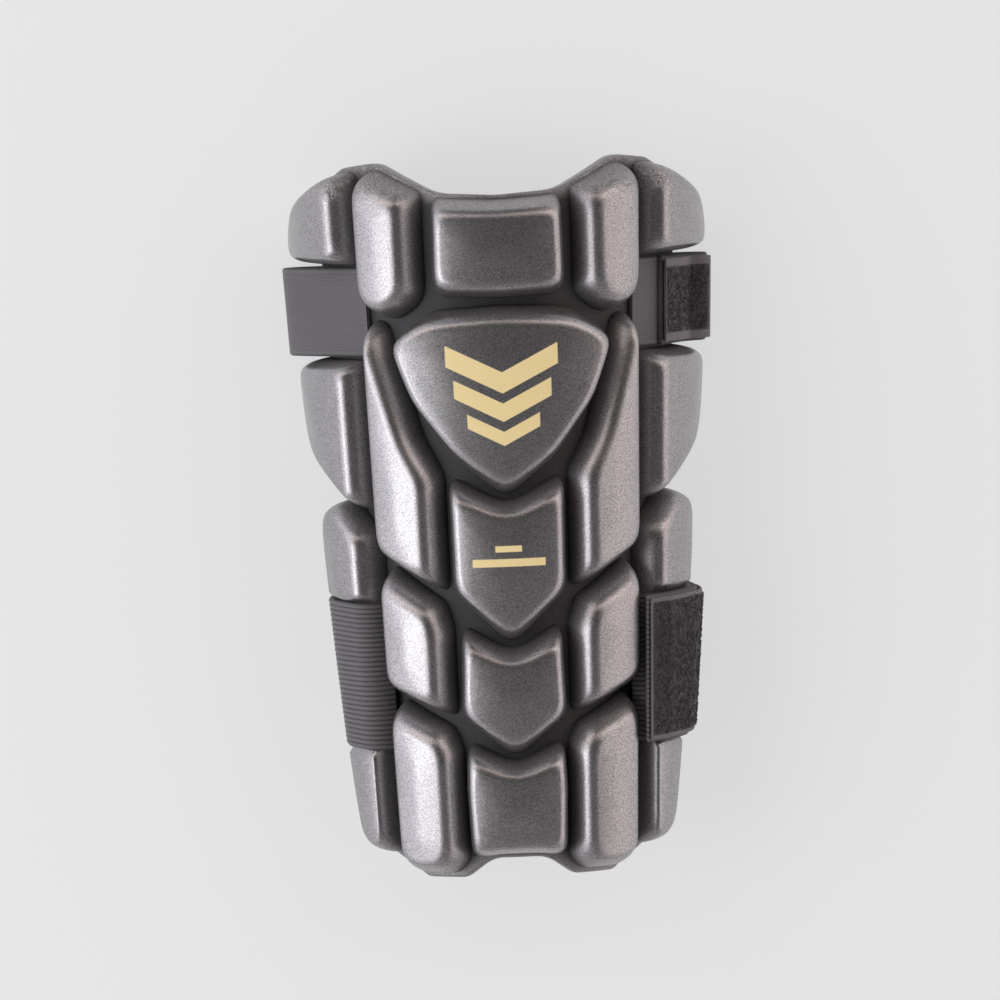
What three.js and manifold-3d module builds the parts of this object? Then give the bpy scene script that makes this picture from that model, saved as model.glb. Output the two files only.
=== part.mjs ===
// A forearm guard for cricket: one moulded foam shell with raised pads, and two elastic straps that
// close round the back of the arm with touch-fastener patches. Millimetres, +Z up. The guard lies on
// its straps with its padded face up; +Y points to the elbow end and +X to the right of the face.
import * as THREE from 'three';
import { mergeVertices } from 'three/addons/utils/BufferGeometryUtils.js';
import Module from 'manifold-3d';

const wasm = await Module();
wasm.setup();

// Driving sizes of the shell
const length = 255;
const wristRadius = 53.8;
const elbowRadius = 66.4;
const wall = 5;
const rimRounding = 1.1;
const frontPadHeight = 11;
const middlePadHeight = 11.5;
const sidePadHeight = 12;
const wristSidePadHeight = 10;
const padSink = 1;
const footRound = 1;
const crownInset = 3;

// Driving sizes of the straps
const clearance = 0.4;
const upperStrapWidth = 32;
const upperStrapCentre = 0.792 * length;
const strapChannelMargin = 1;
const lowerStrapWidth = 53;
const lowerStrapCentre = 0.2804 * length;
const strapThickness = 1.6;
const patchThickness = 1.8;
const upperPatchMargin = 2.4;
const lowerPatchMargin = 1.2;
const upperLapFrom = 15;
const lowerLapFrom = 10.5;
const upperAnchorLength = 47;
const lowerAnchorLength = 52;
const upperPatchLength = 29;
const lowerPatchLength = 52;

// How finely the curved faces are cut
const cornerSteps = 3;
const widestStep = 12;
const stepsBetweenStations = 3;
const strapRows = 2;

const layer = strapThickness + clearance;
const degree = Math.PI / 180;
const flatRadius = (wristRadius + elbowRadius) / 2;

// The channel between the upper side pads, in which the upper strap runs, in shares of the length
const channelReach = upperStrapWidth / 2 + strapChannelMargin;
const channelTop = (upperStrapCentre + channelReach) / length;
const channelBottom = (upperStrapCentre - channelReach) / length;

// The edge of the shell, right half from the elbow end to the wrist end. turn is the angle from the
// front line in degrees, along a share of the length, round the radius of the corner in mm.
const edge = [
  { turn: 0, along: 0.951, round: 30 },
  { turn: 19, along: 0.956, round: 20 },
  { turn: 40, along: 1.001, round: 12 },
  { turn: 56, along: 0.995, round: 10 },
  { turn: 76, along: 0.961, round: 12 },
  { turn: 86.5, along: 0.912, round: 12 },
  { turn: 86.5, along: 0.72, round: 20 },
  { turn: 80, along: 0.584, round: 15 },
  { turn: 63, along: 0.543, round: 2.5 },
  { turn: 73.5, along: 0.527, round: 6 },
  { turn: 73.5, along: 0.44, round: 30 },
  { turn: 66.8, along: 0.157, round: 20 },
  { turn: 62, along: 0.03, round: 12 },
  { turn: 45, along: 0.008, round: 5 },
  { turn: 38.5, along: -0.006, round: 6 },
  { turn: 21, along: -0.004, round: 8 },
  { turn: 10, along: 0.024, round: 15 },
];
const sideTurn = edge[5].turn;
const sideTop = edge[5].along * length;

// The foot of each pad. A front pad lies across the front line and its table gives the right half;
// the middle and side pads come in mirrored pairs.
const frontPads = {
  brow: [
    { turn: 0, along: 0.949, round: 20 },
    { turn: 19.5, along: 0.959, round: 4 },
    { turn: 20.3, along: 0.813, round: 5 },
    { turn: 0, along: 0.808, round: 30 },
  ],
  shield: [
    { turn: 0, along: 0.8, round: 40 },
    { turn: 22, along: 0.795, round: 14 },
    { turn: 34, along: 0.755, round: 8 },
    { turn: 28, along: 0.665, round: 30 },
    { turn: 16.5, along: 0.588, round: 25 },
    { turn: 0, along: 0.53, round: 6 },
  ],
  upperChevron: [
    { turn: 0, along: 0.523, round: 10 },
    { turn: 18.8, along: 0.565, round: 2.5 },
    { turn: 18.8, along: 0.4, round: 6 },
    { turn: 0, along: 0.323, round: 6 },
  ],
  lowerChevron: [
    { turn: 0, along: 0.316, round: 10 },
    { turn: 17, along: 0.356, round: 2.5 },
    { turn: 18.3, along: 0.225, round: 6 },
    { turn: 0, along: 0.166, round: 6 },
  ],
  wristPad: [
    { turn: 0, along: 0.159, round: 10 },
    { turn: 17, along: 0.192, round: 2.5 },
    { turn: 18, along: 0.13, round: 10 },
    { turn: 17.3, along: 0.026, round: 3 },
    { turn: 0, along: 0.03, round: 20 },
  ],
};
const middlePads = {
  elbowMiddle: [
    { turn: 23.4, along: 0.97, round: 4 },
    { turn: 33, along: 0.991, round: 8 },
    { turn: 44.5, along: 0.991, round: 5 },
    { turn: 44.5, along: 0.805, round: 4 },
    { turn: 37, along: 0.781, round: 8 },
    { turn: 23.8, along: 0.812, round: 6 },
  ],
  longMiddle: [
    { turn: 44.4, along: 0.785, round: 3 },
    { turn: 44.5, along: 0.453, round: 4 },
    { turn: 20.8, along: 0.396, round: 3 },
    { turn: 20.6, along: 0.566, round: 8 },
    { turn: 27.3, along: 0.62, round: 20 },
    { turn: 38, along: 0.777, round: 3 },
  ],
  shortMiddle: [
    { turn: 44.3, along: 0.443, round: 3 },
    { turn: 44.3, along: 0.263, round: 3 },
    { turn: 20.2, along: 0.222, round: 3 },
    { turn: 20, along: 0.35, round: 6 },
    { turn: 22.5, along: 0.388, round: 4 },
  ],
  wristMiddle: [
    { turn: 43.8, along: 0.253, round: 3 },
    { turn: 43.5, along: 0.024, round: 5 },
    { turn: 38, along: 0.001, round: 5 },
    { turn: 24, along: 0.003, round: 4 },
    { turn: 18.8, along: 0.022, round: 4 },
    { turn: 18.8, along: 0.18, round: 6 },
    { turn: 22, along: 0.212, round: 4 },
  ],
};
const sidePads = {
  elbowSide: [
    { turn: 47.6, along: 0.99, round: 4 },
    { turn: 56, along: 0.988, round: 8 },
    { turn: 75, along: 0.954, round: 10 },
    { turn: 85, along: 0.902, round: 8 },
    { turn: 85.2, along: channelTop, round: 2 },
    { turn: 47.6, along: channelTop, round: 3 },
  ],
  longSide: [
    { turn: 47.6, along: channelBottom, round: 3 },
    { turn: 85.2, along: channelBottom, round: 3 },
    { turn: 84, along: 0.66, round: 20 },
    { turn: 77.5, along: 0.584, round: 10 },
    { turn: 63.5, along: 0.556, round: 5 },
    { turn: 47.6, along: 0.5, round: 4 },
  ],
  wristSide: [
    { turn: 47.6, along: 0.48, round: 4 },
    { turn: 61.5, along: 0.531, round: 5 },
    { turn: 72.3, along: 0.518, round: 6 },
    { turn: 72.3, along: 0.44, round: 25 },
    { turn: 65.6, along: 0.157, round: 20 },
    { turn: 60.8, along: 0.037, round: 10 },
    { turn: 47.6, along: 0.018, round: 6 },
  ],
};

// The section of every pad: how far each ring lies in from the foot, and its share of the height
const padRings = [
  { inset: 0.25 * crownInset, rise: 0.5 },
  { inset: 0.6 * crownInset, rise: 0.85 },
  { inset: crownInset, rise: 1 },
];

function radiusAt(along) {
  return THREE.MathUtils.lerp(wristRadius, elbowRadius, along / length);
}

// The height of the front line: the sides of the shell just clear the flattened upper strap
const sideDepth = radiusAt(sideTop) - (radiusAt(sideTop) - wall) * Math.cos(sideTurn * degree);
const crestHeight = strapThickness + clearance + sideDepth;

// A point of the flat pattern (across, along, lift) on the curved shell
function onShell(across, along, lift) {
  const radius = radiusAt(along);
  const angle = across / flatRadius;
  return new THREE.Vector3(
    (radius + lift) * Math.sin(angle),
    along - length / 2,
    crestHeight - radius + (radius + lift) * Math.cos(angle),
  );
}

function flatCorners(table, side = 1) {
  return table.map(({ turn, along, round }) => ({
    point: new THREE.Vector2(side * turn * degree * flatRadius, along * length),
    round,
  }));
}

// A table of the right half and its mirror image, as one closed outline
function wholeOutline(table) {
  const right = flatCorners(table);
  const left = flatCorners(table, -1).filter(({ point }) => point.x < 0);
  return [...right, ...left.reverse()];
}

function counterClockwise(corners) {
  const clockwise = THREE.ShapeUtils.isClockWise(corners.map(({ point }) => point));
  return clockwise ? [...corners].reverse() : corners;
}

// Corners moved in by an inset, each along the mitre of its two sides
function insetCorners(corners, inset) {
  return corners.map(({ point, round }, i) => {
    const before = corners[(i + corners.length - 1) % corners.length].point;
    const after = corners[(i + 1) % corners.length].point;
    const into = point.clone().sub(before).normalize();
    const out = after.clone().sub(point).normalize();
    const mitre = new THREE.Vector2(-into.y - out.y, into.x + out.x);
    const reach = inset / (1 + into.dot(out));
    return { point: point.clone().addScaledVector(mitre, reach), round };
  });
}

// Each corner becomes a short curve that starts and ends on its two sides
function roundedOutline(corners) {
  return corners.flatMap(({ point, round }, i) => {
    const before = corners[(i + corners.length - 1) % corners.length].point;
    const after = corners[(i + 1) % corners.length].point;
    const back = before.clone().sub(point);
    const ahead = after.clone().sub(point);
    const halfAngle = back.angleTo(ahead) / 2;
    const wanted = round / Math.tan(halfAngle);
    const reach = Math.min(wanted, 0.46 * back.length(), 0.46 * ahead.length());
    const start = point.clone().addScaledVector(back.normalize(), reach);
    const end = point.clone().addScaledVector(ahead.normalize(), reach);
    return new THREE.QuadraticBezierCurve(start, point, end).getPoints(cornerSteps);
  });
}

function toManifold(geometry) {
  const merged = mergeVertices(geometry, 1e-4);
  return new wasm.Manifold(new wasm.Mesh({
    numProp: 3,
    vertProperties: Float32Array.from(merged.attributes.position.array),
    triVerts: Uint32Array.from(merged.index.array),
  }));
}

// A closed solid through rings of equal count, counter-clockwise seen from above, lowest first
function lofted(rings) {
  const count = rings[0].points.length;
  const positions = rings.flatMap(({ points, lift }) => points.flatMap(({ x, y }) => [x, y, lift]));
  const index = [];
  for (let ring = 0; ring + 1 < rings.length; ring += 1) {
    for (let i = 0; i < count; i += 1) {
      const a = ring * count + i;
      const b = ring * count + (i + 1) % count;
      index.push(a, b, b + count, a, b + count, a + count);
    }
  }
  const top = (rings.length - 1) * count;
  for (const [a, b, c] of THREE.ShapeUtils.triangulateShape(rings[0].points, [])) {
    index.push(a, c, b);
  }
  for (const [a, b, c] of THREE.ShapeUtils.triangulateShape(rings[rings.length - 1].points, [])) {
    index.push(top + a, top + b, top + c);
  }
  const geometry = new THREE.BufferGeometry();
  geometry.setAttribute('position', new THREE.Float32BufferAttribute(positions, 3));
  geometry.setIndex(index);
  return toManifold(geometry);
}

function pad(corners, height) {
  const foot = counterClockwise(corners);
  const rings = padRings.map(({ inset, rise }) => ({
    points: roundedOutline(insetCorners(foot, inset)),
    lift: rise * height,
  }));
  return lofted([{ points: roundedOutline(foot), lift: -padSink }, ...rings]);
}

function plate(corners) {
  const outer = counterClockwise(corners);
  const whole = roundedOutline(outer);
  const narrowed = roundedOutline(insetCorners(outer, rimRounding));
  return lofted([
    { points: narrowed, lift: -wall },
    { points: whole, lift: -wall + rimRounding },
    { points: whole, lift: -footRound },
    { points: narrowed, lift: 0 },
  ]);
}

// Cuts every triangle that is wider across the flat pattern than the widest step, so that it can bend
function splitWide(vertices, triangles) {
  let faces = triangles;
  for (;;) {
    const middles = new Map();
    const middle = (a, b) => {
      if (Math.abs(vertices[a].x - vertices[b].x) <= widestStep) return -1;
      const key = a < b ? `${a},${b}` : `${b},${a}`;
      if (!middles.has(key)) {
        middles.set(key, vertices.length);
        vertices.push(vertices[a].clone().lerp(vertices[b], 0.5));
      }
      return middles.get(key);
    };
    faces = faces.flatMap(([a, b, c]) => splitOne(a, b, c, middle));
    if (middles.size === 0) return faces;
  }
}

function splitOne(a, b, c, middle) {
  const corners = [a, b, c];
  const marks = [middle(a, b), middle(b, c), middle(c, a)];
  const marked = marks.filter((mark) => mark >= 0).length;
  if (marked === 0) return [[a, b, c]];
  const first = marked === 1 ? marks.findIndex((mark) => mark >= 0)
    : (marks.findIndex((mark) => mark < 0) + 1) % 3;
  if (marked === 3) {
    const [ab, bc, ca] = marks;
    return [[a, ab, ca], [ab, b, bc], [ca, bc, c], [ab, bc, ca]];
  }
  const p = corners[first];
  const q = corners[(first + 1) % 3];
  const r = corners[(first + 2) % 3];
  const pq = marks[first];
  if (marked === 1) return [[p, pq, r], [pq, q, r]];
  const qr = marks[(first + 1) % 3];
  return [[pq, q, qr], [p, pq, qr], [p, qr, r]];
}

function solidGeometry(points, triangles) {
  const geometry = new THREE.BufferGeometry();
  const positions = points.flatMap(({ x, y, z }) => [x, y, z]);
  geometry.setAttribute('position', new THREE.Float32BufferAttribute(positions, 3));
  geometry.setIndex(triangles.flat());
  geometry.computeVertexNormals();
  return geometry;
}

function shellGeometry() {
  let solid = plate(wholeOutline(edge));
  for (const table of Object.values(frontPads)) {
    solid = solid.add(pad(wholeOutline(table), frontPadHeight));
  }
  const { wristSide, ...upperSides } = sidePads;
  const pairs = [
    ...Object.values(middlePads).map((table) => [table, middlePadHeight]),
    ...Object.values(upperSides).map((table) => [table, sidePadHeight]),
    [wristSide, wristSidePadHeight],
  ];
  for (const [table, height] of pairs) {
    for (const side of [1, -1]) {
      solid = solid.add(pad(flatCorners(table, side), height));
    }
  }
  const { vertProperties, triVerts } = solid.getMesh();
  const vertices = [];
  for (let i = 0; i < vertProperties.length; i += 3) {
    vertices.push(new THREE.Vector3(vertProperties[i], vertProperties[i + 1], vertProperties[i + 2]));
  }
  const triangles = [];
  for (let i = 0; i < triVerts.length; i += 3) {
    triangles.push([triVerts[i], triVerts[i + 1], triVerts[i + 2]]);
  }
  const faces = splitWide(vertices, triangles);
  return solidGeometry(vertices.map(({ x, y, z }) => onShell(x, y, z)), faces);
}

// The routes of the straps in the section across the arm, from the groove beside the middle pads to
// the surface that the guard lies on. A station is at a turn, or at a turn counted from the edge of
// the side pads, lifted off the shell; or else it lies beyond the side of the guard, up from the floor.
const anchorHeight = strapThickness / 2 + layer;
const overPad = wristSidePadHeight + strapThickness / 2;
const upperLeftStations = [
  { turn: 46.3, lift: 1.3 },
  { turn: 56, lift: 1.7 },
  { turn: 65, lift: 4.4 },
  { turn: 73, lift: 8.4 },
  { beyond: 1.4, up: 12 },
  { beyond: 2, up: 7 },
  { beyond: -0.4, up: 2.4 },
  { beyond: -5.6, up: strapThickness / 2 },
];
const upperRightStations = [
  { turn: 46.3, lift: 1.3 },
  { turn: 58, lift: 1.5 },
  { turn: 68, lift: 2.4 },
  { turn: 77, lift: 4.2 },
  { beyond: -2.2, up: 11.5 },
  { beyond: -2.4, up: 7.5 },
  { beyond: -5.5, up: anchorHeight + 0.6 },
  { beyond: -11, up: anchorHeight },
];
const lowerStations = [
  { turn: 45.9, lift: 3 },
  { turn: 46.9, lift: 7.6 },
  { turn: 49.6, lift: overPad + 0.7 },
  { turn: 54, lift: overPad + 0.8 },
  { fromEdge: -9, lift: overPad + 0.8 },
  { fromEdge: -3.6, lift: overPad + 0.8 },
  { beyond: 1.7, up: 26 },
  { beyond: 0.2, up: 16 },
];
const lowerLeftStations = [
  ...lowerStations,
  { beyond: -4, up: 7 },
  { beyond: -11, up: 2.2 },
  { beyond: -20, up: strapThickness / 2 },
];
const lowerRightStations = [
  ...lowerStations,
  { beyond: -5, up: anchorHeight + 5.5 },
  { beyond: -12, up: anchorHeight + 1.1 },
  { beyond: -21, up: anchorHeight },
];

// The turn of the outer edge of the side pads at one place along the guard, and their height there
function sideAt(along) {
  const [wide, narrow] = [sidePads.wristSide[3], sidePads.wristSide[4]];
  const share = (along / length - narrow.along) / (wide.along - narrow.along);
  if (share > 1) return { edgeTurn: sideTurn, padHeight: sidePadHeight };
  const edgeTurn = THREE.MathUtils.lerp(narrow.turn, wide.turn, share);
  return { edgeTurn, padHeight: wristSidePadHeight };
}

// Points along a route at one place along the guard, on the right side of the section
function stationPoints(stations, along) {
  const radius = radiusAt(along);
  const { edgeTurn, padHeight } = sideAt(along);
  const crownTurn = edgeTurn * degree - crownInset / flatRadius;
  const widest = (radius + padHeight) * Math.sin(crownTurn);
  return stations.map(({ turn, fromEdge, lift, beyond, up }) => {
    if (beyond !== undefined) return new THREE.Vector2(widest + beyond, up);
    const angle = (turn ?? edgeTurn + fromEdge) * degree;
    const height = crestHeight - radius + (radius + lift) * Math.cos(angle);
    return new THREE.Vector2((radius + lift) * Math.sin(angle), height);
  });
}

function route(stations, along) {
  const steps = stepsBetweenStations * (stations.length - 1);
  return new THREE.SplineCurve(stationPoints(stations, along)).getPoints(steps);
}

// A line of points moved sideways, to the left of its direction, each along the mitre of its sides
function beside(points, distance) {
  return points.map((point, i) => {
    const into = point.clone().sub(points[Math.max(i - 1, 0)]).normalize();
    const out = points[Math.min(i + 1, points.length - 1)].clone().sub(point).normalize();
    const sides = [into, out].filter((side) => side.length() > 0);
    const mitre = new THREE.Vector2();
    sides.forEach((side) => mitre.add(new THREE.Vector2(-side.y, side.x)));
    mitre.normalize();
    const square = new THREE.Vector2(-sides[0].y, sides[0].x);
    return point.clone().addScaledVector(mitre, distance / mitre.dot(square));
  });
}

// A band of even thickness: a line of points in the section at each row along the guard, closed into
// one solid. The line runs so that the outside of the loop lies on its left.
function band(lineAt, centre, width, thickness) {
  const vertices = [];
  const rows = [];
  for (let row = 0; row <= strapRows; row += 1) {
    const along = centre + width * (row / strapRows - 0.5);
    const line = lineAt(along);
    const ring = [...beside(line, thickness / 2), ...beside(line, -thickness / 2).reverse()];
    rows.push(ring.map(({ x, y }) => {
      vertices.push(new THREE.Vector3(x, along - length / 2, y));
      return vertices.length - 1;
    }));
  }
  const count = rows[0].length;
  const triangles = [];
  for (let row = 0; row < strapRows; row += 1) {
    for (let i = 0; i < count; i += 1) {
      const j = (i + 1) % count;
      const [a, b] = [rows[row][i], rows[row][j]];
      const [c, d] = [rows[row + 1][j], rows[row + 1][i]];
      triangles.push([a, b, c], [a, c, d]);
    }
  }
  for (let i = 0; i + 1 < count / 2; i += 1) {
    const j = count - 1 - i;
    for (const [ring, flip] of [[rows[0], true], [rows[strapRows], false]]) {
      const quad = [ring[i], ring[i + 1], ring[j - 1], ring[j]];
      const [a, b, c, d] = flip ? quad.reverse() : quad;
      triangles.push([a, b, c], [a, c, d]);
    }
  }
  return solidGeometry(vertices, triangles);
}

// How many steps of a line it takes to cover a length
function stepsFor(line, wanted) {
  let travelled = 0;
  for (let i = 1; i < line.length; i += 1) {
    travelled += line[i].distanceTo(line[i - 1]);
    if (travelled > wanted) return i;
  }
  return line.length - 1;
}

// A line that lies on the outside of the anchor strap, from the free end of the strap to the floor
function lapLine({ rightStations, centre, lapStart, lapFrom }, along) {
  const first = stepsFor(route(rightStations, centre), lapFrom);
  const lap = beside(route(rightStations, along), layer).slice(first);
  return [...stationPoints(lapStart, along), ...lap];
}

// The loop of the strap: its lap, the stretch along the floor, and up to the left groove
function strapLine(strap, along) {
  const left = route(strap.leftStations, along).map(({ x, y }) => new THREE.Vector2(-x, y));
  return [...lapLine(strap, along), ...left.reverse()];
}

function anchorLine({ rightStations, centre, anchorLength }, along) {
  const last = stepsFor(route(rightStations, centre), anchorLength);
  return route(rightStations, along).slice(0, last + 1);
}

function patchLine(strap, along) {
  const offset = strapThickness / 2 + clearance + patchThickness / 2;
  const last = stepsFor(lapLine(strap, strap.centre), strap.patchLength);
  return beside(lapLine(strap, along), offset).slice(0, last + 1);
}

const straps = {
  upper: {
    leftStations: upperLeftStations,
    rightStations: upperRightStations,
    centre: upperStrapCentre,
    width: upperStrapWidth,
    lapStart: [],
    lapFrom: upperLapFrom,
    anchorLength: upperAnchorLength,
    patchLength: upperPatchLength,
    patchWidth: upperStrapWidth - 2 * upperPatchMargin,
  },
  lower: {
    leftStations: lowerLeftStations,
    rightStations: lowerRightStations,
    centre: lowerStrapCentre,
    width: lowerStrapWidth,
    lapStart: [{ turn: 42.8, lift: overPad + layer + 0.5 }],
    lapFrom: lowerLapFrom,
    anchorLength: lowerAnchorLength,
    patchLength: lowerPatchLength,
    patchWidth: lowerStrapWidth - 2 * lowerPatchMargin,
  },
};

const foam = { color: 0x4b484b, roughness: 0.42, metalness: 0.25 };
const elastic = { color: 0x2b2a2c, roughness: 0.85, metalness: 0 };
const nap = { color: 0x171518, roughness: 1, metalness: 0 };

const guard = new THREE.Group();

function addPiece(name, geometry, finish) {
  const mesh = new THREE.Mesh(geometry, new THREE.MeshStandardMaterial(finish));
  mesh.name = name;
  guard.add(mesh);
}

addPiece('moulded_shell', shellGeometry(), foam);
for (const [place, strap] of Object.entries(straps)) {
  const { centre, width, patchWidth } = strap;
  const strapBand = band((along) => strapLine(strap, along), centre, width, strapThickness);
  const anchorBand = band((along) => anchorLine(strap, along), centre, width, strapThickness);
  const patchBand = band((along) => patchLine(strap, along), centre, patchWidth, patchThickness);
  addPiece(`${place}_elastic_strap`, strapBand, elastic);
  addPiece(`${place}_anchor_strap`, anchorBand, elastic);
  addPiece(`${place}_fastening_patch`, patchBand, nap);
}

// The origin is the middle of the guard's box, on the surface that it lies on
const box = new THREE.Box3().setFromObject(guard);
const middle = box.getCenter(new THREE.Vector3());
guard.position.set(-middle.x, -middle.y, -box.min.z);

export default guard;
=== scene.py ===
"""A cricket forearm guard: a moulded foam shell with raised pads and two elastic straps, seen from above."""
import math

import bpy
import numpy as np
from mathutils import Matrix, Vector
from mathutils.geometry import delaunay_2d_cdt


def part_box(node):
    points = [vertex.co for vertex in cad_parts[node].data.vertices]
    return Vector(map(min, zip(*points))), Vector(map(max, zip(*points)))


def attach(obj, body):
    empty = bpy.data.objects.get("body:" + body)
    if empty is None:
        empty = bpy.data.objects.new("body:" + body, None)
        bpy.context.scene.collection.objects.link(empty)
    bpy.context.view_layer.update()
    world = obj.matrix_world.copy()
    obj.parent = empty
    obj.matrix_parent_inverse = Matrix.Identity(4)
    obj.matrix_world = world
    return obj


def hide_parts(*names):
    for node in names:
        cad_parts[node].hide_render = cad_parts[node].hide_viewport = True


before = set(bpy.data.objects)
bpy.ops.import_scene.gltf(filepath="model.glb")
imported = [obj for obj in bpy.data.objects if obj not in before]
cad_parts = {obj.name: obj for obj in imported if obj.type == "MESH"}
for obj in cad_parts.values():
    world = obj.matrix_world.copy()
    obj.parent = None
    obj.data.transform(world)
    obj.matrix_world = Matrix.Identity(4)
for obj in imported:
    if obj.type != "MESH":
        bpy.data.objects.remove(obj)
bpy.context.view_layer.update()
bpy.ops.object.select_all(action="DESELECT")

MM = 0.001

# The shell, in millimetres, as in the frame
LENGTH = 255
WRIST_RADIUS = 53.8
ELBOW_RADIUS = 66.4
FLAT_RADIUS = (WRIST_RADIUS + ELBOW_RADIUS) / 2
WALL = 5
RIM_ROUND = 1.1
FRONT_HEIGHT = 11
MIDDLE_HEIGHT = 11.5
SIDE_HEIGHT = 12
WRIST_SIDE_HEIGHT = 10
WRIST_SIDE_SWELL = 2
CROWN_INSET = 3
STRAP_THICKNESS = 1.6
CLEARANCE = 0.4
SIDE_TURN = 86.5
SIDE_TOP = 0.912
SMOOTH_BELOW = math.radians(45)

shell_low, shell_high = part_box("moulded_shell")
CENTRE_X = (shell_low.x + shell_high.x) / 2
CENTRE_Y = (shell_low.y + shell_high.y) / 2 / MM


def radius_at(along):
    """The outer radius of the shell between its pads, at one place along the guard."""
    return WRIST_RADIUS + (ELBOW_RADIUS - WRIST_RADIUS) * along / LENGTH


side_radius = radius_at(SIDE_TOP * LENGTH)
side_depth = side_radius - (side_radius - WALL) * math.cos(math.radians(SIDE_TURN))
CREST = STRAP_THICKNESS + CLEARANCE + side_depth

LOWER_CENTRE = 0.2804 * LENGTH
LOWER_WIDTH = 53

# The channel between the upper side pads, in which the upper strap runs, in shares of the length
UPPER_CENTRE = 0.792 * LENGTH
UPPER_WIDTH = 32
CHANNEL_MARGIN = 1
CHANNEL_TOP = (UPPER_CENTRE + UPPER_WIDTH / 2 + CHANNEL_MARGIN) / LENGTH
CHANNEL_BOTTOM = (UPPER_CENTRE - UPPER_WIDTH / 2 - CHANNEL_MARGIN) / LENGTH

# Outlines of the right half: the turn from the front line in degrees, the share of the length, and
# the radius of the corner in millimetres
EDGE = [
    (0, 0.951, 30), (19, 0.956, 20), (40, 1.001, 12), (56, 0.995, 10), (76, 0.961, 12),
    (86.5, 0.912, 12), (86.5, 0.72, 20), (80, 0.584, 15), (63, 0.543, 2.5), (73.5, 0.527, 6),
    (73.5, 0.44, 30), (66.8, 0.157, 20), (62, 0.03, 12), (45, 0.008, 5), (38.5, -0.006, 6),
    (21, -0.004, 8), (10, 0.024, 15),
]
FRONT_PADS = {
    "brow": [(0, 0.949, 20), (19.5, 0.959, 4), (20.3, 0.813, 5), (0, 0.808, 30)],
    "shield": [(0, 0.8, 40), (22, 0.795, 14), (34, 0.755, 8), (28, 0.665, 30),
               (16.5, 0.588, 25), (0, 0.53, 6)],
    "upper_chevron": [(0, 0.523, 10), (18.8, 0.565, 2.5), (18.8, 0.4, 6), (0, 0.323, 6)],
    "lower_chevron": [(0, 0.316, 10), (17, 0.356, 2.5), (18.3, 0.225, 6), (0, 0.166, 6)],
    "wrist_pad": [(0, 0.159, 10), (17, 0.192, 2.5), (18, 0.13, 10), (17.3, 0.026, 3), (0, 0.03, 20)],
}
MIDDLE_PADS = {
    "elbow_middle": [(23.4, 0.966, 8), (33, 0.991, 14), (44.5, 0.991, 9), (44.5, 0.8, 12),
                     (35, 0.778, 16), (23.8, 0.806, 12)],
    "long_middle": [(44.4, 0.785, 3), (44.5, 0.453, 4), (20.8, 0.396, 3), (20.6, 0.566, 8),
                    (27.3, 0.62, 20), (38, 0.777, 3)],
    "short_middle": [(44.3, 0.443, 3), (44.3, 0.263, 3), (20.2, 0.222, 3), (20, 0.35, 6),
                     (22.5, 0.388, 4)],
    "wrist_middle": [(43.8, 0.253, 3), (43.5, 0.024, 5), (38, 0.001, 5), (24, 0.003, 4),
                     (18.8, 0.022, 4), (18.8, 0.18, 6), (22, 0.212, 4)],
}
SIDE_PADS = {
    "elbow_side": [(47.6, 0.99, 4), (56, 0.988, 8), (75, 0.954, 10), (85, 0.902, 8), (85.2, CHANNEL_TOP, 2),
                   (47.6, CHANNEL_TOP, 3)],
    "long_side": [(47.6, CHANNEL_BOTTOM, 3), (85.2, CHANNEL_BOTTOM, 3), (84, 0.66, 20), (75.5, 0.584, 10),
                  (63.5, 0.552, 5), (47.6, 0.5, 4)],
    "wrist_side": [(47.6, 0.48, 4), (61.5, 0.531, 5), (72.3, 0.518, 6), (72.3, 0.44, 25),
                   (65.6, 0.157, 20), (60.8, 0.037, 10), (47.6, 0.018, 6)],
}

HEIGHTS = {"elbow_side": SIDE_HEIGHT, "long_side": SIDE_HEIGHT, "wrist_side": WRIST_SIDE_HEIGHT}

# The section of a pad from its foot to its crown: share of the slope's width, share of the height
SECTION = [
    (0.03, 0.11), (0.08, 0.25), (0.15, 0.41), (0.24, 0.57), (0.35, 0.71), (0.48, 0.83),
    (0.62, 0.92), (0.76, 0.968), (0.89, 0.991), (1, 1),
]
# Widths of the slopes that face the middle of the guard, its sides, its elbow end and its wrist end
FRONT_SLOPES = (5.2, 5.2, 7.5, 5)
MIDDLE_SLOPES = (7.2, 4.4, 9, 6)
SIDE_SLOPES = (6.5, 3, 5.5, 4)
FRONT_DOME = 0.4
MIDDLE_DOME = 1
FLATTENING = {"shield": 0.4, "brow": 0.3}
LEAST_FLATTENING = 0.2
RING_SPACING = 1.1
FLOOR_SPACING = 2.4
CROWN_SPACING = 2.6
LINING_SPACING = 4
CORNER_POINTS = 8
STEP_IN = 0.2
EASING = 0.35
RIM_MARGIN = 0.5
RIM_REACH = 5
RIM_STEPS = 4
DENT_BEYOND = 1.2
DENT_EASE = 3
DOME_REACH = 7
MOST_EASINGS = 40
FIRST_EASING = 0.5
ROW_SHARE = 0.87
LEAST_GAP = 0.55
EDGE_PARTS = 200


def on_shell(flat):
    """Points of the flat pattern (across, along, lift in mm) on the curved shell, in metres."""
    across, along, lift = np.asarray(flat, float).T
    radius = radius_at(along)
    angle = across / FLAT_RADIUS
    x = (radius + lift) * np.sin(angle)
    z = CREST - radius + (radius + lift) * np.cos(angle)
    y = along - LENGTH / 2
    return np.stack([x * MM + CENTRE_X, (y + SHELL_Y) * MM, z * MM], axis=1)


def corners_of(table, side=1):
    """The corners of an outline table as (across, along, round) rows in millimetres."""
    scale = side * math.radians(1) * FLAT_RADIUS
    return [(turn * scale, share * LENGTH, round_) for turn, share, round_ in table]


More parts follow.
